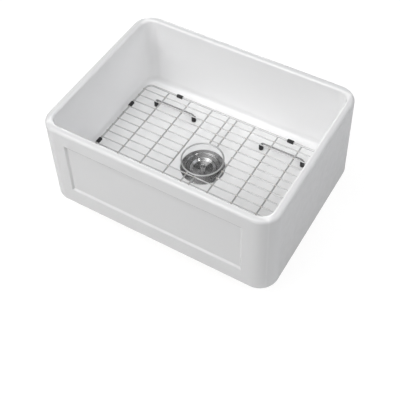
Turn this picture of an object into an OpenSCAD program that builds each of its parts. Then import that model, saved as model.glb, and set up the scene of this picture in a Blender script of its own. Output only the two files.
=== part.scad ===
// Farmhouse sink with a recessed apron panel, a basket strainer in its outlet
// and a wire grid that stands on the floor of the bowl.
// Millimetres. +Z is up, the apron faces -Y. The origin lies on the outlet's
// axis, in the plane that the underside's foot rests on.

/* [Basin] */
// Width, left to right
basin_width = 610; // [580:1:700]
// Depth, from the apron to the back
basin_depth = 457; // [400:1:520]
// Height, from the foot to the rim
basin_height = 254; // [215:1:320]
// Thickness of the four walls
wall = 19; // [16:0.5:24]
// Outside radius of the upright corners
corner_r = 48; // [42:1:64]
// Level of the bowl's floor above the foot
floor_z = 42; // [38:0.5:60]
// Thickness of the fired floor
floor_thick = 22; // [20:0.5:26]
// Fillet between the floor and the walls
floor_fillet = 15; // [8:0.5:20]
// Rounding of the rim's outer edge
rim_outer_round = 8; // [4:0.5:9]
// Rounding of the rim's inner edge
rim_inner_round = 6; // [3:0.5:6]
// Rounding of the outer bottom edge
foot_round = 7; // [3:0.5:10]
// Width of the foot that runs round the underside
foot_width = 45; // [40:1:60]
// Corner radius of the hollow in the underside
hollow_r = 20; // [10:1:30]

/* [Apron panel] */
// Distance from the basin's sides to the panel
panel_side = 69; // [66:1:110]
// Distance from the rim down to the panel
panel_top = 41; // [30:1:60]
// Distance from the foot up to the panel
panel_bottom = 51; // [30:1:70]
// Radius of the rounded edge round the panel
panel_round = 4; // [2:0.25:6]
// Radius of the hollow fillet inside that edge
panel_fillet = 4; // [1.5:0.25:6]
// Steepness of the slope between the two, in degrees
panel_slope = 52; // [40:1:70]
// Length of that slope
panel_run = 3; // [1:0.25:4]

/* [Strainer] */
// Radius of the flange that shows in the bowl
flange_r = 57; // [55:0.5:62]
// Thickness of the pressed steel sheet
sheet = 1; // [0.8:0.1:1.2]
// Inside radius of the step that the lid lies in
step_r = 44.6; // [44:0.1:46]
// Depth of that step below the flange's top
step_drop = 3.2; // [3:0.1:4.5]
// Inside radius of the cup
cup_r = 40; // [38:0.5:41]
// Depth of the cup below the flange's top
cup_depth = 58; // [55:1:64]
// Length of the slope that draws the cup in to its ledge
taper_run = 11; // [9:0.5:14]
// Inside radius of the hole in the cup's bottom
waste_r = 26.5; // [25:0.5:27.5]
// Flat width of the ledge round that hole
ledge_w = 2.5; // [1.5:0.1:3]
// Length of the stub below the cup
stub_len = 14; // [12:0.5:18]
// Depth of the shallow dish in the floor round the outlet
dish_drop = 1.6; // [0.8:0.1:2]
// Radius of that dish
dish_r = 110; // [80:1:120]

/* [Clamping] */
// Thickness of the seal under the flange
seal_t = 1.4; // [1:0.1:1.8]
// Thickness of the rubber gasket under the floor
gasket_t = 4; // [3:0.5:5]
// Outside radius of the rubber gasket
gasket_r = 56; // [53:0.5:60]
// Thickness of the friction ring
ring_t = 1; // [0.8:0.1:1.5]
// Height of the lock nut
nut_h = 20; // [16:0.5:22]
// Wall of the lock nut
nut_wall = 4; // [3:0.25:5]
// Height of the lock nut's flange
nut_flange_h = 5; // [4:0.5:6]
// How much slimmer the lock nut's barrel is at its foot
nut_draft = 1.2; // [0:0.1:1.4]

/* [Tail] */
// Outside radius of the tail's 1 1/2 inch thread
tail_r = 23.9; // [23:0.1:24.5]
// Wall of the tail
tail_wall = 2.9; // [2.5:0.1:3.5]
// Length of the tail below its flange
tail_len = 28; // [20:1:40]
// Length of the smooth neck between the tail's flange and its thread
tail_neck = 5; // [4:0.5:8]
// Thickness of the tail's flange
tail_flange_t = 2.5; // [2:0.1:3.5]
// Thickness of the washer over that flange
tail_washer_t = 2; // [1.5:0.1:2.5]
// Wall of the coupling nut
coupling_wall = 3.2; // [2.5:0.1:4]
// Thickness of the coupling nut's bottom
coupling_base = 3; // [2.5:0.1:4]
// Height of the coupling nut
coupling_h = 16; // [14:0.5:17]

/* [Basket] */
// Play between the basket's foot and the end of the cup's ledge
basket_play = 0.4; // [0.3:0.1:1]
// How much wider the basket's radius is at its mouth than at its foot
basket_flare = 3.4; // [2:0.1:5]
// Height of the basket
basket_h = 40; // [34:1:44]
// Thickness of the perforated sheet
basket_t = 0.8; // [0.6:0.1:1]
// Radius of the rolled wire at the mouth
basket_bead_r = 1.2; // [1:0.1:1.5]
// Radius of the small holes
perf_r = 1.6; // [1.2:0.1:1.8]
// Holes round the wall in one row
perf_cols = 32; // [24:1:36]
// Rows of holes up the wall
perf_rows = 6; // [4:1:6]

/* [Lid] */
// Radius of the lid
lid_r = 42.6; // [42.2:0.1:43]
// Thickness of the lid
lid_t = 0.8; // [0.6:0.1:1]
// Radius inside which the lid is dished
dish_start_r = 33; // [32:0.1:34]
// Slope of the dish's side, in degrees
dish_side = 42; // [36:1:46]
// Length of that side
dish_run = 6; // [4.5:0.1:6.5]
// Slope of the dish's bottom, in degrees
dish_bottom = 9; // [6:0.5:11]
// Radius of the bends at both ends of the side
dish_bend = 2.5; // [1.5:0.1:3]
// Radius of the drain hole in the dish's side
drain_hole_r = 4; // [2.5:0.1:4.4]
// Height of the knob
knob_h = 13; // [11:0.5:16]
// Radius of the knob's top
knob_top_r = 8; // [6:0.2:9]
// Radius of the knob's waist
knob_waist_r = 4.6; // [4:0.1:5]
// Radius of the knob's foot
knob_foot_r = 8; // [7:0.2:9]
// Radius of the screw that holds the knob
screw_r = 2; // [1.5:0.1:2.2]
// Length of that screw's shank
screw_len = 7; // [6:0.5:8]

/* [Grid] */
// Space between the grid and each side wall of the bowl
grid_side_gap = 21; // [16:0.5:36]
// Space between the grid and the bowl's front and back walls
grid_front_gap = 47; // [42:0.5:60]
// Corner radius of the frame, at the middle of its bar
grid_corner = 15; // [12:1:20]
// Height of the grid's top above the floor
grid_h = 32; // [30:0.5:40]
// Radius of the frame's bar
frame_r = 2.5; // [2.2:0.1:3]
// Radius of the long thin wires
long_r = 1.5; // [1.2:0.1:1.6]
// Radius of the thicker cross wires
cross_r = 2; // [1.8:0.1:2.2]
// Number of long wires
long_count = 12; // [10:2:12]
// Space between the ring over the outlet and the first whole cross wire
hoop_clear = 5.8; // [4:0.1:8]
// Middle radius of the ring over the outlet
hoop_r = 53; // [50:0.5:56]
// Gap left at every weld between two wires
weld_gap = 0.05; // [0.02:0.01:0.1]

/* [Grid feet] */
// Radius of the bar that the legs are bent from
leg_r = 2; // [1.8:0.1:2.2]
// Distance between the two ends of a leg, as a share of the grid's width
leg_span_share = 0.219; // [0.21:0.001:0.23]
// Place of a leg's middle, as a share of half the grid's width
leg_share = 0.596; // [0.59:0.001:0.61]
// Bend radius of the legs
leg_bend = 6; // [5:0.5:7]
// Radius of the rubber feet
foot_r = 6; // [5:0.25:7]
// Height of the rubber feet
foot_h = 14; // [11:0.5:15]
// Rubber under the end of a leg
foot_sole = 4; // [3:0.5:6]
// Radius of the bumpers on the frame
bumper_r = 5; // [4.5:0.1:5.3]
// Length of the bumpers
bumper_len = 17; // [12:1:19]
// Place of the bumpers on the long bars, as a share of half the grid's width
bumper_share = 0.619; // [0.59:0.001:0.65]

/* [Hidden] */
$fn = 96;

// Overrun of every cut
cut = 2;
// Running clearance between a piece and the bore or thread that it sits in
fit = 0.3;
// Slack of a push fit
push = 0.05;

// Basin
inner_corner = corner_r - wall;
fillet = min(floor_fillet, inner_corner - cut);
half_x = basin_width / 2 - corner_r;
half_y = basin_depth / 2 - corner_r;
under_z = floor_z - floor_thick;
panel_well = (panel_round + panel_fillet) * (1 - cos(panel_slope)) + panel_run * sin(panel_slope);
panel_edge_w = (panel_round + panel_fillet) * sin(panel_slope) + panel_run * cos(panel_slope);
arc_steps = 8;

// Strainer body, from the flange down
seat_depth = 2;
seat_z = floor_z - dish_drop - seat_depth;
flange_top = seat_z + seal_t + sheet;
shoulder_z = flange_top - step_drop;
ledge_z = flange_top - cup_depth;
stub_z = ledge_z - sheet - stub_len;
neck_gap = 0.6;
outlet_r = step_r + sheet + neck_gap;
seat_gap = 1;
seat_r = flange_r + seat_gap;
step_bend = 1;
cup_bend = 0.4;
ledge_bend = 4;
ledge_x = waste_r + sheet + step_bend + ledge_w;
taper_turn = asin((cup_r - ledge_bend - ledge_x) / taper_run);
lip_bend = 0.6;
lip_len = 0.6;
shell_r = cup_r + sheet;

// Clamping pieces, each under the last
gasket_z = under_z - gasket_t;
ring_z = gasket_z - ring_t;
nut_z = ring_z - nut_h;
ring_inset = 2;
ring_r = gasket_r - ring_inset;
nut_bore_r = shell_r + fit;
nut_r = nut_bore_r + nut_wall;
nut_lugs = 6;
nut_lug_w = 7;
nut_chamfer = 1;

// Tail, from the stub's end down
stub_r = waste_r + sheet;
washer_z = stub_z - tail_washer_t;
tail_flange_z = washer_z - tail_flange_t;
coupling_z = tail_flange_z - coupling_base;
coupling_bore_r = stub_r + fit;
coupling_r = coupling_bore_r + coupling_wall;
coupling_ribs = 12;
coupling_rib_w = 3.5;
coupling_rib_t = 1.2;
tail_chamfer = 1;
tail_relief = 0.5;

// Basket, standing on the cup's ledge
basket_foot_r = ledge_x - basket_play;
basket_top_r = basket_foot_r + basket_flare;
basket_top = ledge_z + basket_h;
bead_z = basket_top - basket_bead_r;
perf_first = 6;
perf_margin = 6;
perf_pitch = (basket_h - perf_first - perf_margin) / (perf_rows - 1);
perf_rings = 3;
perf_ring_step = 5.6;
perf_round = 6;

// Lid
lid_z = shoulder_z;
lid_top = lid_z + lid_t;
// Centres of the two bends between the lid's flat edge and the dish's bottom
dish_high = [dish_start_r, lid_top - dish_bend];
dish_low = dish_high + 2 * dish_bend * [-sin(dish_side), cos(dish_side)]
    - dish_run * [cos(dish_side), sin(dish_side)];
dish_foot = dish_low + dish_bend * [sin(dish_bottom), -cos(dish_bottom)];
knob_z = dish_foot.y - (dish_foot.x - knob_foot_r) * tan(dish_bottom);
drain_hole_x = (dish_high.x + dish_low.x) / 2 - dish_bend / 2;
drain_hole_turn = -87;
knob_waist_share = 0.45;
knob_dimple = 1.2;
knob_rim = 1.6;
knob_edge = 0.8;
screw_head_r = 2 * screw_r;
screw_head_h = 1.2 * screw_r;

// Grid, from its outline in and from its top down
grid_width = basin_width - 2 * (wall + grid_side_gap);
grid_depth = basin_depth - 2 * (wall + grid_front_gap);
grid_top = floor_z + grid_h;
long_z = grid_top - long_r;
frame_z = long_z - long_r - weld_gap - frame_r;
cross_z = long_z - long_r - weld_gap - cross_r;
leg_z = cross_z - cross_r - weld_gap - leg_r;
frame_x = grid_width / 2 - frame_r;
frame_y = grid_depth / 2 - frame_r;
long_end = frame_x + frame_r / 2;
cross_end = frame_y - frame_r - weld_gap;
hoop_bar_r = cross_r;
long_pitch = 2 * frame_y / (long_count + 1);
// The cross wires share the width between the ring and the frame evenly
cross_inner = hoop_r + hoop_bar_r + hoop_clear + cross_r;
cross_pairs = 3;
cross_pitch = (frame_x - cross_inner) / cross_pairs;
cut_cross_x = 11.4;
leg_drop = leg_z - (floor_z + foot_sole);
leg_span = leg_span_share * grid_width;
leg_x = leg_share * grid_width / 2;
// The legs stand halfway between the two outermost long wires
leg_y = (long_count / 2 - 1) * long_pitch;
foot_bore_r = leg_r + push;
foot_chamfer = 1;
bumper_bore_r = frame_r + push;
bumper_x = bumper_share * grid_width / 2;
bumper_rows = 3;
bumper_y = bumper_rows * long_pitch;
bumper_slit = 1;
bumper_chamfer = 0.8;

steel = [0.72, 0.73, 0.74];
rubber = [0.12, 0.12, 0.12];
plastic = [0.16, 0.16, 0.17];

// Waste outside a rounded corner, in the quarter that points right and up before the turn
module corner_waste(r, turn) {
    rotate(turn) difference() {
        square(r + cut);
        circle(r = r);
    }
}

// Section of the walls and the floor's edge: x runs outward from the corner's centre
module wall_section() {
    difference() {
        square([corner_r, basin_height]);
        translate([-cut, floor_z]) square([inner_corner + cut, basin_height]);
        translate([corner_r - rim_outer_round, basin_height - rim_outer_round])
            corner_waste(rim_outer_round, 0);
        translate([inner_corner + rim_inner_round, basin_height - rim_inner_round])
            corner_waste(rim_inner_round, 90);
        translate([corner_r - foot_round, foot_round]) corner_waste(foot_round, -90);
    }
    translate([inner_corner - fillet, floor_z]) difference() {
        square(fillet);
        translate([0, fillet]) circle(r = fillet);
    }
}

// The section carried round the rounded rectangle, with the floor in its middle
module basin_block() {
    for (k = [0 : 3]) rotate([0, 0, 90 * k]) {
        run = k % 2 == 0 ? half_y : half_x;
        out = k % 2 == 0 ? half_x : half_y;
        translate([out, run, 0]) rotate([90, 0, 0]) linear_extrude(2 * run) wall_section();
        translate([out, run, 0]) rotate_extrude(angle = 90) wall_section();
    }
    translate([-half_x, -half_y, 0]) cube([2 * half_x, 2 * half_y, floor_z]);
}

// Hollow in the underside, which leaves a foot all round and an even floor
module underside_hollow() {
    x = basin_width / 2 - foot_width - hollow_r;
    y = basin_depth / 2 - foot_width - hollow_r;
    translate([0, 0, -cut]) linear_extrude(under_z + cut) {
        square([2 * x, 2 * (y + hollow_r)], center = true);
        square([2 * (x + hollow_r), 2 * y], center = true);
        for (sx = [-1, 1], sy = [-1, 1]) translate([sx * x, sy * y]) circle(r = hollow_r);
    }
}

// Outlet: a shallow dish, the flange's seat and the hole
module outlet_cut() {
    dish_z = floor_z - dish_drop;
    rotate_extrude() polygon([[0, dish_z], [seat_r, dish_z], [dish_r, floor_z], [dish_r, floor_z + cut],
                              [0, floor_z + cut]]);
    translate([0, 0, seat_z]) cylinder(r = seat_r, h = seat_depth + cut);
    translate([0, 0, under_z - cut]) cylinder(r = outlet_r, h = seat_z - under_z + 2 * cut);
}

// Points of an arc, from one direction to the other
function arc(center, r, from, to) = [
    for (k = [0 : arc_steps]) let (turn = from + (to - from) * k / arc_steps)
        center + r * [cos(turn), sin(turn)]];

// Section of the apron's recess: x along the panel, y into the wall
module panel_section(length) {
    edge = concat(
        arc([0, panel_round], panel_round, -90, panel_slope - 90),
        arc([panel_edge_w, panel_well - panel_fillet], panel_fillet, panel_slope + 90, 90));
    last = len(edge) - 1;
    polygon(concat([[0, -cut]], edge, [for (k = [0 : last]) [length - edge[last - k].x, edge[last - k].y]],
        [[length, -cut]]));
}

// Recess in the apron: the same moulded edge on all four sides, mitred in the corners
module panel_cut() {
    w = basin_width - 2 * panel_side;
    h = basin_height - panel_top - panel_bottom;
    translate([-w / 2, -basin_depth / 2, panel_bottom]) intersection() {
        translate([0, 0, -cut]) linear_extrude(h + 2 * cut) panel_section(w);
        translate([-cut, 0, 0]) rotate([90, 0, 90]) linear_extrude(w + 2 * cut)
            translate([0, h]) rotate(-90) panel_section(h);
    }
}

module basin() {
    color("white") difference() {
        basin_block();
        underside_hollow();
        outlet_cut();
        panel_cut();
    }
}

// A quarter of a bend in sheet metal, seen in section
module bend(inner, thick, turn) {
    rotate(turn) intersection() {
        difference() {
            circle(r = inner + thick);
            circle(r = inner);
        }
        square(inner + thick);
    }
}

// Wall of the cup in section: straight, then bent in down to the ledge
module cup_section(top_z) {
    low = [ledge_x, ledge_z + ledge_bend];
    high = low + taper_run * [sin(taper_turn), cos(taper_turn)];
    polygon(concat(
        [[cup_r, top_z]],
        arc(high, ledge_bend, 0, -taper_turn), arc(low, ledge_bend, -taper_turn, -90),
        arc(low, ledge_bend + sheet, -90, -taper_turn), arc(high, ledge_bend + sheet, -taper_turn, 0),
        [[shell_r, top_z]]));
}

// Section of the pressed body: lip, flange, step, shoulder, cup, ledge and stub
module strainer_section() {
    lip_x = flange_r - sheet - lip_bend;
    lip_z = flange_top - sheet - lip_bend;
    translate([lip_x + lip_bend, lip_z - lip_len]) square([sheet, lip_len]);
    translate([lip_x, lip_z]) bend(lip_bend, sheet, 0);
    step_x = step_r + sheet + step_bend;
    translate([step_x, flange_top - sheet]) square([lip_x - step_x, sheet]);
    step_z = flange_top - sheet - step_bend;
    translate([step_x, step_z]) bend(step_bend, sheet, 90);
    foot_z = shoulder_z + step_bend;
    translate([step_r, foot_z]) square([sheet, step_z - foot_z]);
    translate([step_r - step_bend, foot_z]) bend(step_bend, sheet, -90);
    neck_x = shell_r + cup_bend;
    neck_z = shoulder_z - sheet - cup_bend;
    translate([neck_x, shoulder_z - sheet]) square([step_r - step_bend - neck_x, sheet]);
    translate([neck_x, neck_z]) bend(cup_bend, sheet, 90);
    cup_section(neck_z);
    hole_x = stub_r + step_bend;
    hole_z = ledge_z - sheet - step_bend;
    translate([hole_x, ledge_z - sheet]) square([ledge_x - hole_x, sheet]);
    translate([hole_x, hole_z]) bend(step_bend, sheet, 90);
    translate([waste_r, stub_z]) square([sheet, hole_z - stub_z]);
}

module strainer_body() {
    color(steel) rotate_extrude() strainer_section();
}

// A flat ring
module washer(outer, inner, thick) {
    difference() {
        cylinder(r = outer, h = thick);
        translate([0, 0, -cut]) cylinder(r = inner, h = thick + 2 * cut);
    }
}

module flange_seal() {
    color(rubber) translate([0, 0, seat_z])
        washer(flange_r - sheet - lip_bend, step_r + sheet + step_bend, seal_t);
}

// Thick rubber under the floor, drawn in towards the nut
module clamp_gasket() {
    taper = gasket_t / 2;
    color(rubber) rotate_extrude() polygon([
        [nut_bore_r, gasket_z], [ring_r - push, gasket_z], [gasket_r, gasket_z + taper],
        [gasket_r, under_z], [nut_bore_r, under_z]]);
}

module friction_ring() {
    color(steel) translate([0, 0, ring_z]) washer(ring_r, nut_bore_r, ring_t);
}

// Lock nut: a flange against the ring, a barrel and lugs for a spanner
module lock_nut() {
    color(plastic) difference() {
        union() {
            rotate_extrude() polygon([
                [0, nut_z], [nut_r - nut_draft - nut_chamfer, nut_z], [nut_r - nut_draft, nut_z + nut_chamfer],
                [nut_r, ring_z - nut_flange_h], [ring_r, ring_z - nut_flange_h], [ring_r, ring_z],
                [0, ring_z]]);
            for (k = [0 : nut_lugs - 1]) rotate([0, 0, 360 / nut_lugs * k])
                translate([0, -nut_lug_w / 2, nut_z + nut_chamfer])
                    cube([ring_r - nut_chamfer, nut_lug_w, nut_h - nut_chamfer - nut_flange_h / 2]);
        }
        translate([0, 0, nut_z - cut]) cylinder(r = nut_bore_r, h = nut_h + 2 * cut);
    }
}

module tail_washer() {
    color(rubber) translate([0, 0, washer_z]) washer(stub_r, tail_r - tail_wall, tail_washer_t);
}

// Short threaded tail with the flange that the coupling nut draws up
module tail_spigot() {
    end_z = tail_flange_z - tail_len;
    color(plastic) rotate_extrude() polygon([
        [tail_r - tail_wall, end_z], [tail_r - tail_chamfer, end_z], [tail_r, end_z + tail_chamfer],
        [tail_r, tail_flange_z - tail_neck], [tail_r - tail_relief, tail_flange_z - tail_neck],
        [tail_r - tail_relief, tail_flange_z], [stub_r, tail_flange_z], [stub_r, washer_z],
        [tail_r - tail_wall, washer_z]]);
}

// Coupling nut with grip ribs, open below for the tail
module coupling_nut() {
    color(plastic) difference() {
        translate([0, 0, coupling_z]) linear_extrude(coupling_h) union() {
            circle(r = coupling_r);
            for (k = [0 : coupling_ribs - 1]) rotate(360 / coupling_ribs * k)
                translate([0, -coupling_rib_w / 2]) square([coupling_r + coupling_rib_t, coupling_rib_w]);
        }
        translate([0, 0, tail_flange_z]) cylinder(r = coupling_bore_r, h = coupling_h);
        translate([0, 0, coupling_z - cut]) cylinder(r = tail_r + fit, h = coupling_base + 2 * cut);
    }
}

// Perforated wall of the basket, slightly wider at the mouth
module basket_wall() {
    top_z = bead_z;
    color(steel) difference() {
        rotate_extrude() polygon([
            [basket_foot_r - basket_t, ledge_z], [basket_foot_r, ledge_z],
            [basket_top_r, top_z], [basket_top_r - basket_t, top_z]]);
        for (row = [0 : perf_rows - 1], col = [0 : perf_cols - 1])
            rotate([0, 0, 360 / perf_cols * (col + row % 2 / 2)])
                translate([basket_foot_r - perf_margin, 0, ledge_z + perf_first + perf_pitch * row])
                    rotate([0, 90, 0])
                        cylinder(r = perf_r, h = basket_top_r - basket_foot_r + 2 * perf_margin, $fn = 20);
    }
}

// Floor of the basket, with rings of holes about its middle
module basket_floor() {
    color(steel) difference() {
        translate([0, 0, ledge_z]) cylinder(r = basket_foot_r - basket_t - push, h = basket_t);
        for (ring = [1 : perf_rings], k = [0 : perf_round * ring - 1])
            rotate([0, 0, 360 / (perf_round * ring) * k])
                translate([perf_ring_step * ring, 0, ledge_z - cut])
                    cylinder(r = perf_r, h = basket_t + 2 * cut, $fn = 20);
        translate([0, 0, ledge_z - cut]) cylinder(r = perf_r, h = basket_t + 2 * cut, $fn = 20);
    }
}

// Wire rolled into the basket's mouth
module basket_rim() {
    color(steel) translate([0, 0, bead_z + basket_bead_r + push])
        rotate_extrude() translate([basket_top_r - basket_t / 2, 0]) circle(r = basket_bead_r, $fn = 32);
}

// Lid pressed from sheet: a flat edge, a dished middle and a flat seat for the knob
module lid_plate() {
    bore = screw_r + push;
    seat = [knob_foot_r, knob_z];
    under_seat = seat + lid_t * [tan(dish_bottom / 2), -1];
    color(steel) difference() {
        rotate_extrude() polygon(concat(
            [[lid_r, lid_z], [lid_r, lid_top]],
            arc(dish_high, dish_bend, 90, 90 + dish_side),
            arc(dish_low, dish_bend, dish_side - 90, dish_bottom - 90),
            [seat, [bore, seat.y], [bore, under_seat.y], under_seat],
            arc(dish_low, dish_bend + lid_t, dish_bottom - 90, dish_side - 90),
            arc(dish_high, dish_bend - lid_t, 90 + dish_side, 90)));
        rotate([0, 0, drain_hole_turn]) translate([drain_hole_x, 0, knob_z - cut])
            cylinder(r = drain_hole_r, h = lid_top - knob_z + 2 * cut);
    }
}

// Turned knob: foot, waist and a top with a shallow dimple, tapped from below
module lid_knob() {
    waist_z = knob_h * knob_waist_share;
    color(steel) translate([0, 0, knob_z]) difference() {
        rotate_extrude() polygon([
            [0, 0], [knob_foot_r, 0], [knob_foot_r, knob_edge], [knob_waist_r, waist_z],
            [knob_top_r, knob_h - 2 * knob_edge], [knob_top_r, knob_h - knob_edge],
            [knob_top_r - knob_edge, knob_h], [knob_top_r - knob_rim, knob_h],
            [knob_top_r - knob_rim - knob_dimple, knob_h - knob_dimple], [0, knob_h - knob_dimple]]);
        translate([0, 0, -cut]) cylinder(r = screw_r + push, h = screw_len - lid_t + push + cut);
    }
}

// Screw through the lid into the knob
module knob_screw() {
    color(steel) {
        translate([0, 0, knob_z - lid_t]) cylinder(r = screw_r, h = screw_len);
        translate([0, 0, knob_z - lid_t - screw_head_h]) cylinder(r = screw_head_r, h = screw_head_h);
    }
}

// A straight wire from one end to the other along +X or +Y
module wire_x(from, to, r) {
    translate([from, 0, 0]) rotate([0, 90, 0]) cylinder(r = r, h = to - from, $fn = 32);
}
module wire_y(from, to, r) {
    translate([0, from, 0]) rotate([-90, 0, 0]) cylinder(r = r, h = to - from, $fn = 32);
}
// A quarter of a bent wire in the XY plane, about its bend's centre
module wire_bend(bend_r, r) {
    rotate_extrude(angle = 90) translate([bend_r, 0]) circle(r = r, $fn = 32);
}

// Frame of the grid: one bar bent into a rounded rectangle
module grid_frame() {
    x = frame_x - grid_corner;
    y = frame_y - grid_corner;
    color(steel) translate([0, 0, frame_z]) {
        for (k = [0 : 3]) rotate([0, 0, 90 * k]) {
            out = k % 2 == 0 ? x : y;
            run = k % 2 == 0 ? y : x;
            translate([out + grid_corner, 0, 0]) wire_y(-run, run, frame_r);
            translate([out, run, 0]) wire_bend(grid_corner, frame_r);
        }
    }
}

function long_y(row) = (row - (long_count - 1) / 2) * long_pitch;
function is_cut(row) = abs(long_y(row)) < hoop_r;

module long_wires() {
    color(steel) for (row = [0 : long_count - 1]) if (!is_cut(row))
        translate([0, long_y(row), long_z]) wire_x(-long_end, long_end, long_r);
}

// The rows that stop short of the ring, at the cross wires beside it
module cut_long_wires() {
    inner = cross_inner - cross_r;
    color(steel) for (row = [0 : long_count - 1]) if (is_cut(row))
        translate([0, long_y(row), long_z]) {
            wire_x(-long_end, -inner, long_r);
            wire_x(inner, long_end, long_r);
        }
}

module cross_wires() {
    color(steel) for (k = [0 : cross_pairs - 1], side = [-1, 1])
        translate([side * (cross_inner + k * cross_pitch), 0, cross_z]) wire_y(-cross_end, cross_end, cross_r);
}

// The two pairs of cross wires that end on the ring
module cut_cross_wires() {
    reach = hoop_r + hoop_bar_r + weld_gap;
    start = sqrt(pow(reach, 2) - pow(cut_cross_x - cross_r, 2));
    color(steel) for (side = [-1, 1]) translate([side * cut_cross_x, 0, cross_z]) {
        wire_y(-cross_end, -start, cross_r);
        wire_y(start, cross_end, cross_r);
    }
}

// Ring that leaves the strainer free
module drain_hoop() {
    color(steel) translate([0, 0, cross_z])
        rotate_extrude() translate([hoop_r, 0]) circle(r = hoop_bar_r, $fn = 32);
}

// Leg: a bar under the cross wires with both ends bent down
module leg(side_x, side_y) {
    run = leg_span / 2 - leg_bend;
    color(steel) translate([side_x * leg_x, side_y * leg_y, leg_z]) {
        wire_x(-run, run, leg_r);
        for (turn = [0, 180]) rotate([0, 0, turn]) {
            translate([run, 0, -leg_bend]) rotate([90, 0, 0]) wire_bend(leg_bend, leg_r);
            translate([leg_span / 2, 0, -leg_drop])
                cylinder(r = leg_r, h = leg_drop - leg_bend, $fn = 32);
        }
    }
}

// Rubber foot pushed on the end of a leg
module foot(number) {
    side_x = number > 4 ? 1 : -1;
    side_y = number % 2 == 0 ? 1 : -1;
    end = ceil(number / 2) % 2 == 0 ? 1 : -1;
    color(rubber) translate([side_x * leg_x + end * leg_span / 2, side_y * leg_y, floor_z])
        rotate_extrude($fn = 48) polygon([
            [0, 0], [foot_r - foot_chamfer, 0], [foot_r, foot_chamfer], [foot_r, foot_h - foot_chamfer],
            [foot_r - foot_chamfer, foot_h], [foot_bore_r, foot_h], [foot_bore_r, foot_sole],
            [0, foot_sole]]);
}

// Slit rubber sleeve on the frame's bar, which runs along X
module bumper_sleeve() {
    half = bumper_len / 2;
    color(rubber) rotate([0, 90, 0]) difference() {
        rotate_extrude($fn = 48) polygon([
            [bumper_bore_r, -half], [bumper_r - bumper_chamfer, -half],
            [bumper_r, -half + bumper_chamfer], [bumper_r, half - bumper_chamfer],
            [bumper_r - bumper_chamfer, half], [bumper_bore_r, half]]);
        translate([0, -bumper_slit / 2, -half - cut])
            cube([bumper_r + cut, bumper_slit, bumper_len + 2 * cut]);
    }
}
module long_side_bumper(side_x, side_y) {
    translate([side_x * bumper_x, side_y * frame_y, frame_z]) bumper_sleeve();
}
module left_side_bumper(side_y) {
    translate([-frame_x, side_y * bumper_y, frame_z]) rotate([0, 0, 90]) bumper_sleeve();
}

basin();
strainer_body();
flange_seal();
clamp_gasket();
friction_ring();
lock_nut();
tail_washer();
tail_spigot();
coupling_nut();
basket_wall();
basket_floor();
basket_rim();
lid_plate();
lid_knob();
knob_screw();
grid_frame();
long_wires();
cut_long_wires();
cross_wires();
cut_cross_wires();
drain_hoop();
leg(-1, 1);  // leg_back_left
leg(1, 1);  // leg_back_right
leg(-1, -1);  // leg_front_left
leg(1, -1);  // leg_front_right
foot(1);  // foot_1
foot(2);  // foot_2
foot(3);  // foot_3
foot(4);  // foot_4
foot(5);  // foot_5
foot(6);  // foot_6
foot(7);  // foot_7
foot(8);  // foot_8
long_side_bumper(-1, 1);  // bumper_back_left
long_side_bumper(1, 1);  // bumper_back_right
long_side_bumper(-1, -1);  // bumper_front_left
long_side_bumper(1, -1);  // bumper_front_right
left_side_bumper(1);  // bumper_side_back
left_side_bumper(-1);  // bumper_side_front
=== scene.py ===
"""Looks of the farmhouse sink: glaze, turned steel, drawn wire, rubber and moulded plastic."""
import math

import bmesh
import bpy
from mathutils import Matrix, Vector


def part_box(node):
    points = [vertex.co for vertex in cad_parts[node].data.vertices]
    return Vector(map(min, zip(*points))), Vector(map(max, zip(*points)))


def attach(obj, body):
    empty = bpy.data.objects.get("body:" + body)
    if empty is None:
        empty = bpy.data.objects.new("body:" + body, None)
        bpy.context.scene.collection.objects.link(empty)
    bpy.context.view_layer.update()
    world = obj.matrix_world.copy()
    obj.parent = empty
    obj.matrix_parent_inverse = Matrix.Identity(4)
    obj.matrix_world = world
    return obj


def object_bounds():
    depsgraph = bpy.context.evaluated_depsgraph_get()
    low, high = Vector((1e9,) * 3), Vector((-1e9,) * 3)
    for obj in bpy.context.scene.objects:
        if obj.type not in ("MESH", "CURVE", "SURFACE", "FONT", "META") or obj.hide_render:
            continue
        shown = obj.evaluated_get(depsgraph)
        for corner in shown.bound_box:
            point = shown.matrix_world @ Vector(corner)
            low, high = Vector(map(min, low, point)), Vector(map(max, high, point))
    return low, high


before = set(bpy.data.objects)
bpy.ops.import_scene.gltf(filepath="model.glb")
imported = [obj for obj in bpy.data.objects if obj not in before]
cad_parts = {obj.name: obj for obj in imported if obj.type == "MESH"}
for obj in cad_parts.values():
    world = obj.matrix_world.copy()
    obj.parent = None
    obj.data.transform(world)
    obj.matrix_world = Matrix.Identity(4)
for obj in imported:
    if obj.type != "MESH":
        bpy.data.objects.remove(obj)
cad_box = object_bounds()

X, Y, Z = 0, 1, 2


def low(node, axis):
    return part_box(node)[0][axis]


def high(node, axis):
    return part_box(node)[1][axis]


# Repeated from part.scad, with lengths in metres
WALL = 0.019
FLOOR_Z = 0.042
TAIL_R = 0.0239
FRAME_R, CROSS_R = 0.0025, 0.002
ROWS = 12

# Half sizes of the bowl at its rim
BOWL_X, BOWL_Y = high("basin", X) - WALL, high("basin", Y) - WALL

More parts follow.
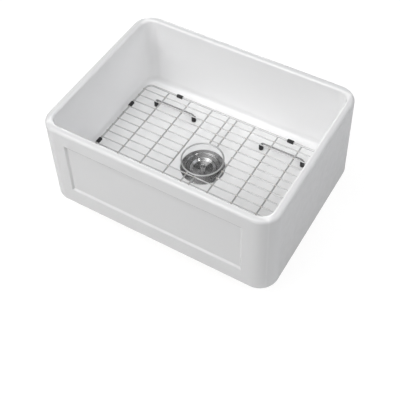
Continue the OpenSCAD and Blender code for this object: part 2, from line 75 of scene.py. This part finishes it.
# The grid: middle lines of its frame and cross wires, pitch of its rows, and where its wires touch
FRAME_X, FRAME_Y = high("grid_frame", X) - FRAME_R, high("grid_frame", Y) - FRAME_R
ROW_PITCH = 2 * FRAME_Y / (ROWS + 1)
CUT_CROSS_X = high("cut_cross_wires", X) - CROSS_R
LAST_CROSS_X = high("cross_wires", X) - CROSS_R
CROSS_PITCH = FRAME_X - LAST_CROSS_X
CROSS_X = [LAST_CROSS_X - 2 * CROSS_PITCH, LAST_CROSS_X - CROSS_PITCH, LAST_CROSS_X]
CROSS_Z = (low("cross_wires", Z) + high("cross_wires", Z)) / 2
LEG_Y = (low("leg_back_right", Y) + high("leg_back_right", Y)) / 2
LEG_TOP = high("leg_back_right", Z)
ROW_UNDERSIDE = low("long_wires", Z)
HOOP_OUTER_R = high("drain_hoop", X)

# Half sizes of the beads of weld along x, y and z
ROW_WELD = (0.0021, 0.0017, 0.0009)
ROW_END_WELD = (0.0024, 0.0017, 0.0009)
CROSS_END_WELD = (0.0024, 0.0012, 0.0022)
HOOP_WELD = (0.0022, 0.0012, 0.0019)
LEG_WELD = (0.0019, 0.0019, 0.0009)

# The tail's thread, from near its open end to near the coupling nut
THREAD_END_GAP = 0.0019
THREAD_NUT_GAP = 0.0031
THREAD_PITCH = 0.0022

# The thread's ridge: its depth in the tail, height and half width, the points to a turn, the part of a turn
# over which it runs out, and the share of its size that is left at its ends
RIDGE_ROOT = 0.0001
RIDGE_HEIGHT = 0.0005
RIDGE_HALF_WIDTH = 0.0008
RIDGE_STEPS = 48
RIDGE_RUN_OUT = 0.25
RIDGE_END_SHARE = 0.08

# Base colours
# The bowl's floor and wall colours are painted light, whiter than the glaze outside; its rounding colour is
# painted shade
BOWL_FLOOR_PAINTED_LIGHT = (0.965, 0.965, 0.967, 1.0)
BOWL_WALL_PAINTED_LIGHT = (0.975, 0.975, 0.977, 1.0)
BOWL_ROUNDING_PAINTED_SHADE = (0.86, 0.86, 0.862, 1.0)
GLAZE_OUTSIDE = (0.775, 0.775, 0.778, 1.0)
# The next colour is painted shade under the top edge of the apron's recess
GLAZE_PAINTED_SHADE = (0.4, 0.4, 0.402, 1.0)
CLAY_DARK = (0.62, 0.57, 0.5, 1.0)
CLAY_PALE = (0.74, 0.7, 0.63, 1.0)
WELD_TINT = (0.45, 0.42, 0.38, 1.0)
WIRE_DARK = 0.5
WIRE_PALE = 0.62
RUBBER_DARK = (0.013, 0.013, 0.014, 1.0)
RUBBER_DUSTY = (0.035, 0.034, 0.033, 1.0)
PLASTIC_DARK = (0.014, 0.014, 0.016, 1.0)
PLASTIC_PALE = (0.024, 0.024, 0.027, 1.0)

# Factors on the shade of turned steel in its darkest and palest rings
RING_DARK = 0.82
RING_PALE = 1.14

# Camera: turned about Z from the front, tilted down, rolled, and this far from the point it looks at
CAMERA_TURN = math.radians(31.97)
CAMERA_TILT = math.radians(46.87)
CAMERA_ROLL = math.radians(-1.99)
CAMERA_AIM = Vector((-0.0492, 0.0827, 0.1))
CAMERA_DISTANCE = 2.1914
CAMERA_LENS = 77.79
CAMERA_SHIFT = (-0.0052, -0.1937)

# Studio: what the lamps point at, the world's light, how much of its white is reflected, and the floor
LAMP_AIM = Vector((0.0, 0.0, 0.1))
WORLD_LEVEL = 0.01
WORLD_REFLECTED = 0.1
STAGE_SHADE = 0.9
STAGE_HALF = 4.0
STAGE_GAP = 0.001
STAGE_GLOW = 1.12
STAGE_GLOW_SHARE = 0.8


class Tree:
    """A material's node tree, with short calls for the nodes used here."""

    def __init__(self, name):
        self.mat = bpy.data.materials.new(name)
        self.mat.use_nodes = True
        self.tree = self.mat.node_tree
        self.bsdf = self.tree.nodes["Principled BSDF"]
        self.out = self.tree.nodes["Material Output"]

    def node(self, kind, **settings):
        made = self.tree.nodes.new(kind)
        for key, value in settings.items():
            setattr(made, key, value)
        return made

    def link(self, source, target):
        self.tree.links.new(source, target)

    def feed(self, value, socket):
        if isinstance(value, bpy.types.NodeSocket):
            self.link(value, socket)
        else:
            socket.default_value = value

    def place(self):
        return self.node("ShaderNodeTexCoord").outputs["Object"]

    def math(self, operation, a, b=0.0):
        made = self.node("ShaderNodeMath", operation=operation)
        self.feed(a, made.inputs[0])
        self.feed(b, made.inputs[1])
        return made.outputs[0]

    def axes(self, vector):
        made = self.node("ShaderNodeSeparateXYZ")
        self.link(vector, made.inputs[0])
        return made.outputs

    def scaled(self, value, factor):
        return self.math("MULTIPLY", value, factor)

    def join(self, x, y, z):
        made = self.node("ShaderNodeCombineXYZ")
        for value, socket in zip((x, y, z), made.inputs):
            self.feed(value, socket)
        return made.outputs[0]

    def noise(self, vector, scale, detail=2.0, rough=0.5):
        made = self.node("ShaderNodeTexNoise")
        self.link(vector, made.inputs["Vector"])
        made.inputs["Scale"].default_value = scale
        made.inputs["Detail"].default_value = detail
        made.inputs["Roughness"].default_value = rough
        return made.outputs["Fac"]

    def ramp(self, value, start, stop, at_start=0.0, at_stop=1.0):
        """at_start where the value is at start or before it, at_stop from stop on, and smooth between."""
        made = self.node("ShaderNodeMapRange", interpolation_type="SMOOTHSTEP")
        self.feed(value, made.inputs["Value"])
        ends = {"From Min": start, "From Max": stop, "To Min": at_start, "To Max": at_stop}
        for key, number in ends.items():
            made.inputs[key].default_value = number
        return made.outputs["Result"]

    def mix(self, share, first, second):
        made = self.node("ShaderNodeMix", data_type="RGBA")
        self.feed(share, made.inputs["Factor"])
        self.feed(first, made.inputs[6])
        self.feed(second, made.inputs[7])
        return made.outputs[2]

    def bump(self, height, distance, strength=1.0, normal=None):
        made = self.node("ShaderNodeBump")
        made.inputs["Strength"].default_value = strength
        made.inputs["Distance"].default_value = distance
        self.link(height, made.inputs["Height"])
        if normal is not None:
            self.link(normal, made.inputs["Normal"])
        return made.outputs["Normal"]

    def radius(self):
        """Distance from the Z axis, angle round it, and height."""
        x, y, z = self.axes(self.place())
        flat = self.node("ShaderNodeVectorMath", operation="LENGTH")
        self.link(self.join(x, y, 0.0), flat.inputs[0])
        return flat.outputs["Value"], self.math("ARCTAN2", y, x), z

    def set(self, **sockets):
        for key, value in sockets.items():
            self.feed(value, self.bsdf.inputs[key.replace("_", " ")])


def grey(value):
    return (value, value, value, 1.0)


def glaze():
    """White glaze, faintly wavy, over fired clay that is bare wherever the surface faces down, with painted
    light in the bowl and painted shade in its rounding and under the apron's recess.
    """
    t = Tree("glaze")
    at = t.place()
    x, y, z = t.axes(at)
    past_x = t.math("SUBTRACT", t.math("ABSOLUTE", x), BOWL_X)
    past_y = t.math("SUBTRACT", t.math("ABSOLUTE", y), BOWL_Y)
    # The glaze is whitest on the bowl's walls, greyer in the rounding round its floor, and greyest outside;
    # the bowl's whiter colour is painted light, whitest on the walls, and its greyer rounding is painted
    # shade in the crease round the floor
    outside = t.ramp(t.math("MAXIMUM", past_x, past_y), -0.002, 0.008)
    rise = t.math("SUBTRACT", z, FLOOR_Z)
    cloud = t.ramp(t.noise(at, 11.0, detail=3.0), 0.3, 0.7, -0.15, 0.15)
    bowl = t.mix(t.math("ADD", t.ramp(rise, 0.003, 0.023), cloud), BOWL_FLOOR_PAINTED_LIGHT, BOWL_WALL_PAINTED_LIGHT)
    rounding_painted_shade = t.math("MULTIPLY", t.ramp(rise, 0.0002, 0.003), t.ramp(rise, 0.006, 0.02, 1.0, 0.0))
    bowl = t.mix(rounding_painted_shade, bowl, BOWL_ROUNDING_PAINTED_SHADE)
    normal_z = t.axes(t.node("ShaderNodeNewGeometry").outputs["Normal"])[Z]
    # The upper edge of the apron's recess faces down, well above the foot, and is painted darker there:
    # painted shade under that edge
    painted_shade = t.math("MULTIPLY", t.ramp(normal_z, -0.02, -0.3), t.ramp(z, 0.03, 0.05))
    t.set(Base_Color=t.mix(outside, bowl, t.mix(painted_shade, GLAZE_OUTSIDE, GLAZE_PAINTED_SHADE)),
          Roughness=t.ramp(t.noise(at, 55.0, detail=4.0), 0.3, 0.7, 0.2, 0.27), IOR=1.5)
    wave = t.bump(t.noise(at, 16.0, detail=1.0), distance=0.0006, strength=0.25)
    peel = t.bump(t.noise(at, 260.0), distance=0.00002, strength=0.4, normal=wave)
    t.link(peel, t.bsdf.inputs["Normal"])
    clay = t.node("ShaderNodeBsdfPrincipled")
    crumb = t.noise(at, 420.0, detail=5.0, rough=0.7)
    t.link(t.mix(crumb, CLAY_DARK, CLAY_PALE), clay.inputs["Base Color"])
    clay.inputs["Roughness"].default_value = 0.85
    t.link(t.bump(t.noise(at, 900.0, detail=4.0), distance=0.0001, strength=0.6), clay.inputs["Normal"])
    edge = t.math("ADD", normal_z, t.ramp(t.noise(at, 90.0, detail=3.0), 0.2, 0.8, -0.06, 0.06))
    mixed = t.node("ShaderNodeMixShader")
    t.link(t.ramp(edge, -0.86, -0.9), mixed.inputs[0])
    t.link(t.bsdf.outputs[0], mixed.inputs[1])
    t.link(clay.outputs[0], mixed.inputs[2])
    t.link(mixed.outputs[0], t.out.inputs["Surface"])
    return t.mat


def turned_steel(name, shade, rough, rings):
    """Steel turned round the Z axis. It is rough across its rings, so its glints stand like spokes."""
    t = Tree(name)
    r, angle, z = t.radius()
    fine = t.join(t.scaled(r, rings), t.scaled(z, rings), t.scaled(angle, 0.8))
    line = t.noise(fine, 1.0, detail=4.0, rough=0.65)
    wide = t.join(t.scaled(r, rings / 5), t.scaled(z, rings / 5), 0.0)
    band = t.noise(wide, 1.0, detail=3.0, rough=0.6)
    tone = t.math("ADD", t.ramp(line, 0.25, 0.75, 0.0, 0.5), t.ramp(band, 0.35, 0.65, 0.0, 0.5))
    t.set(Base_Color=t.mix(tone, grey(shade * RING_DARK), grey(shade * RING_PALE)),
          Roughness=t.ramp(line, 0.3, 0.7, rough * 0.9, rough * 1.1), Metallic=1.0,
          Anisotropic=1.0, Anisotropic_Rotation=0.25)
    round_z = t.node("ShaderNodeTangent", direction_type="RADIAL", axis="Z")
    t.link(round_z.outputs[0], t.bsdf.inputs["Tangent"])
    t.link(t.bump(line, distance=0.00002, strength=0.4), t.bsdf.inputs["Normal"])
    return t.mat


def wire_steel(name, along=None, shade=1.0):
    """Drawn wire. along is the axis that a straight wire runs on, and its welds leave a straw tint."""
    t = Tree(name)
    x, y, z = t.axes(t.place())
    streak = {"x": (30.0, 1500.0), "y": (1500.0, 30.0), None: (2500.0, 2500.0)}[along]
    grain = t.noise(t.join(t.scaled(x, streak[0]), t.scaled(y, streak[1]), t.scaled(z, 1500.0)), 1.0)
    steel = t.mix(grain, grey(WIRE_DARK * shade), grey(WIRE_PALE * shade))
    near = None
    if along == "x":
        side = t.math("ABSOLUTE", x)
        for cross in (CUT_CROSS_X, *CROSS_X, FRAME_X):
            spot = t.math("ABSOLUTE", t.math("SUBTRACT", side, cross))
            near = spot if near is None else t.math("MINIMUM", near, spot)
    elif along == "y":
        near = t.math("PINGPONG", t.math("ADD", y, ROW_PITCH / 2), ROW_PITCH / 2)
    if near is not None:
        ragged = t.math("ADD", near, t.ramp(grain, 0.0, 1.0, -0.0006, 0.0006))
        steel = t.mix(t.ramp(ragged, 0.002, 0.004, 0.6, 0.0), steel, WELD_TINT)
    t.set(Base_Color=steel, Metallic=1.0, Roughness=t.ramp(grain, 0.25, 0.75, 0.34, 0.46))
    t.link(t.bump(grain, distance=0.00004, strength=0.5), t.bsdf.inputs["Normal"])
    return t.mat


def rubber():
    """Matt black rubber with dust in its grain."""
    t = Tree("rubber")
    at = t.place()
    dust = t.noise(at, 160.0, detail=4.0, rough=0.65)
    t.set(Base_Color=t.mix(t.ramp(dust, 0.35, 0.8), RUBBER_DARK, RUBBER_DUSTY),
          Roughness=t.ramp(dust, 0.3, 0.7, 0.5, 0.68), IOR=1.45)
    grain = t.noise(at, 1400.0, detail=3.0)
    t.link(t.bump(grain, distance=0.00006, strength=0.5), t.bsdf.inputs["Normal"])
    return t.mat


def moulded():
    """Satin black plastic with a fine moulded grain."""
    t = Tree("moulded_black")
    at = t.place()
    cloud = t.noise(at, 35.0, detail=3.0)
    t.set(Base_Color=t.mix(cloud, PLASTIC_DARK, PLASTIC_PALE),
          Roughness=t.ramp(cloud, 0.3, 0.7, 0.3, 0.4), IOR=1.5)
    t.link(t.bump(t.noise(at, 700.0), distance=0.00003, strength=0.4), t.bsdf.inputs["Normal"])
    return t.mat


LOOKS = {
    "turned": turned_steel("turned_steel", shade=0.43, rough=0.25, rings=1500.0),
    "pressed": turned_steel("pressed_steel", shade=0.62, rough=0.32, rings=1100.0),
    "glaze": glaze(),
    "wire_x": wire_steel("wire_along_x", along="x"),
    "wire_y": wire_steel("wire_along_y", along="y"),
    "wire": wire_steel("wire_bent"),
    # The legs get a darker copy of the drawn wire steel: painted shade
    "leg": wire_steel("leg_painted_shade", shade=0.5),
    "rubber": rubber(),
    "plastic": moulded(),
}

# How the names of the nodes with each look start
NODES_WITH_LOOK = {
    "glaze": ("basin",),
    "turned": ("strainer_body", "friction_ring", "lid"),
    "pressed": ("knob_screw", "basket"),
    "rubber": ("flange_seal", "clamp_gasket", "tail_washer", "foot", "bumper"),
    "plastic": ("lock_nut", "tail_spigot", "coupling_nut"),
    "wire_x": ("long_wires", "cut_long_wires"),
    "wire_y": ("cross_wires", "cut_cross_wires"),
    "wire": ("grid_frame", "drain_hoop"),
    "leg": ("leg",),
}


def dress_nodes():
    for look, starts in NODES_WITH_LOOK.items():
        for name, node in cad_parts.items():
            if name.startswith(starts):
                node.data.materials.clear()
                node.data.materials.append(LOOKS[look])


def show(thing):
    """Put an object in the scene."""
    bpy.context.scene.collection.objects.link(thing)


def finish_mesh(mesh, name, look, body):
    """Make an object of the mesh that moves with the body."""
    data = bpy.data.meshes.new(name)
    mesh.to_mesh(data)
    mesh.free()
    data.materials.append(look)
    data.shade_smooth()
    piece = bpy.data.objects.new(name, data)
    show(piece)
    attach(piece, body)


def weld_places():
    """(x, y, z, half sizes) of a bead wherever two wires of the grid meet."""
    rows = [(k - (ROWS - 1) / 2) * ROW_PITCH for k in range(ROWS)]
    places = []
    for y in rows:
        row_is_cut = abs(y) < 2 * ROW_PITCH
        crossed = CROSS_X if row_is_cut else [CUT_CROSS_X, *CROSS_X]
        places += [(side * x, y, ROW_UNDERSIDE, ROW_WELD) for x in crossed for side in (-1, 1)]
        places += [(side * FRAME_X, y, ROW_UNDERSIDE, ROW_END_WELD) for side in (-1, 1)]
    hoop_y = math.sqrt(HOOP_OUTER_R ** 2 - CUT_CROSS_X ** 2)
    corners = [(x, FRAME_Y - FRAME_R, CROSS_Z, CROSS_END_WELD) for x in (CUT_CROSS_X, *CROSS_X)]
    corners += [(CUT_CROSS_X, hoop_y, CROSS_Z, HOOP_WELD)]
    corners += [(x, LEG_Y, LEG_TOP, LEG_WELD) for x in CROSS_X[1:]]
    for x, y, z, size in corners:
        places += [(side_x * x, side_y * y, z, size) for side_x in (-1, 1) for side_y in (-1, 1)]
    return places


def add_welds():
    mesh = bmesh.new()
    for x, y, z, size in weld_places():
        made = bmesh.ops.create_uvsphere(mesh, u_segments=10, v_segments=6, radius=1.0)["verts"]
        bmesh.ops.scale(mesh, vec=size, verts=made)
        bmesh.ops.translate(mesh, vec=(x, y, z), verts=made)
    finish_mesh(mesh, "grid_welds", LOOKS["wire"], "grid")


def add_thread():
    """The ridge of the tail's screw thread, which runs out at each end."""
    mesh = bmesh.new()
    start = low("tail_spigot", Z) + THREAD_END_GAP
    end = low("coupling_nut", Z) - THREAD_NUT_GAP
    turns = (end - start) / THREAD_PITCH
    count = round(turns * RIDGE_STEPS)
    foot_r = TAIL_R - RIDGE_ROOT
    last = None
    for k in range(count + 1):
        turn = turns * k / count
        share = min(1.0, RIDGE_END_SHARE + min(turn, turns - turn) / RIDGE_RUN_OUT)
        angle = 2 * math.pi * turn
        way = Vector((math.cos(angle), math.sin(angle), 0.0))
        middle = Vector((0.0, 0.0, start + turn * THREAD_PITCH))
        rise = Vector((0.0, 0.0, RIDGE_HALF_WIDTH * share))
        ring = [mesh.verts.new(at) for at in (way * foot_r + middle - rise,
                                              way * (foot_r + RIDGE_HEIGHT * share) + middle,
                                              way * foot_r + middle + rise)]
        if last:
            for a in range(3):
                b = (a + 1) % 3
                mesh.faces.new((last[a], ring[a], ring[b], last[b]))
        else:
            mesh.faces.new(ring)
        last = ring
    mesh.faces.new(reversed(last))
    bmesh.ops.recalc_face_normals(mesh, faces=mesh.faces)
    finish_mesh(mesh, "tail_thread", LOOKS["plastic"], "sink")


def add_camera():
    turn, tilt, roll = CAMERA_TURN, CAMERA_TILT, CAMERA_ROLL
    back = Vector((math.sin(turn) * math.cos(tilt), -math.cos(turn) * math.cos(tilt), math.sin(tilt)))
    right = Vector((math.cos(turn), math.sin(turn), 0.0))
    up = back.cross(right)
    right, up = right * math.cos(roll) + up * math.sin(roll), up * math.cos(roll) - right * math.sin(roll)
    data = bpy.data.cameras.new("camera")
    data.sensor_width = 36.0
    data.lens = CAMERA_LENS
    data.shift_x, data.shift_y = CAMERA_SHIFT
    camera = bpy.data.objects.new("camera", data)
    camera.matrix_world = Matrix((right, up, back)).transposed().to_4x4()
    camera.location = CAMERA_AIM + back * CAMERA_DISTANCE
    show(camera)
    bpy.context.scene.camera = camera


def add_lamp(name, place, size, power, tint=(1.0, 1.0, 1.0)):
    data = bpy.data.lights.new(name, "AREA")
    data.shape = "RECTANGLE"
    data.size, data.size_y = size
    data.energy = power
    data.color = tint
    lamp = bpy.data.objects.new(name, data)
    lamp.location = place
    lamp.rotation_euler = (LAMP_AIM - Vector(place)).to_track_quat("-Z", "Y").to_euler()
    show(lamp)


def add_world():
    """White for the camera, dim in reflections, and nearly no light from all round."""
    world = bpy.data.worlds.new("studio")
    bpy.context.scene.world = world
    world.use_nodes = True
    tree = world.node_tree
    plain = tree.nodes["Background"]
    plain.inputs["Color"].default_value = grey(1.0)
    plain.inputs["Strength"].default_value = WORLD_LEVEL
    white = tree.nodes.new("ShaderNodeBackground")
    white.inputs["Color"].default_value = grey(1.0)
    white.inputs["Strength"].default_value = 1.0
    mixed = tree.nodes.new("ShaderNodeMixShader")
    path = tree.nodes.new("ShaderNodeLightPath")
    share = tree.nodes.new("ShaderNodeMath")
    share.operation = "MULTIPLY_ADD"
    tree.links.new(path.outputs["Is Glossy Ray"], share.inputs[0])
    share.inputs[1].default_value = WORLD_REFLECTED
    tree.links.new(path.outputs["Is Camera Ray"], share.inputs[2])
    tree.links.new(share.outputs[0], mixed.inputs[0])
    tree.links.new(plain.outputs[0], mixed.inputs[1])
    tree.links.new(white.outputs[0], mixed.inputs[2])
    tree.links.new(mixed.outputs[0], tree.nodes["World Output"].inputs["Surface"])


def add_floor():
    """A floor that is white for the camera but keeps the sink's shadow."""
    mesh = bmesh.new()
    bmesh.ops.create_grid(mesh, x_segments=1, y_segments=1, size=STAGE_HALF)
    data = bpy.data.meshes.new("floor")
    mesh.to_mesh(data)
    mesh.free()
    floor = bpy.data.objects.new("floor", data)
    floor.location = (0.0, 0.0, cad_box[0][2] - STAGE_GAP)
    show(floor)
    t = Tree("floor")
    t.set(Base_Color=grey(STAGE_SHADE), Roughness=0.9)
    white = t.node("ShaderNodeEmission")
    white.inputs["Color"].default_value = grey(1.0)
    white.inputs["Strength"].default_value = STAGE_GLOW
    mixed = t.node("ShaderNodeMixShader")
    share = t.scaled(t.node("ShaderNodeLightPath").outputs["Is Camera Ray"], STAGE_GLOW_SHARE)
    t.link(share, mixed.inputs[0])
    t.link(t.bsdf.outputs[0], mixed.inputs[1])
    t.link(white.outputs[0], mixed.inputs[2])
    t.link(mixed.outputs[0], t.out.inputs["Surface"])
    data.materials.append(t.mat)


dress_nodes()
add_welds()
add_thread()

bpy.context.scene.view_settings.view_transform = "Standard"
add_camera()
add_world()
add_lamp("key", place=(-1.15, -1.78, 2.05), size=(2.4, 2.4), power=33.6)
add_lamp("glint", place=(-0.75, -1.7, 2.15), size=(0.5, 0.5), power=6.0)
add_lamp("top", place=(-0.3, -0.7, 2.5), size=(2.4, 2.4), power=31.5)
add_lamp("right_back", place=(1.8, 0.65, 1.65), size=(1.6, 1.6), power=14.2, tint=(0.95, 0.965, 1.0))
add_lamp("strip", place=(1.6, -0.58, 2.2), size=(0.14, 1.2), power=9.0)
add_lamp("back_fill", place=(-1.6, 2.6, 0.7), size=(1.6, 1.0), power=36.0)
add_floor()
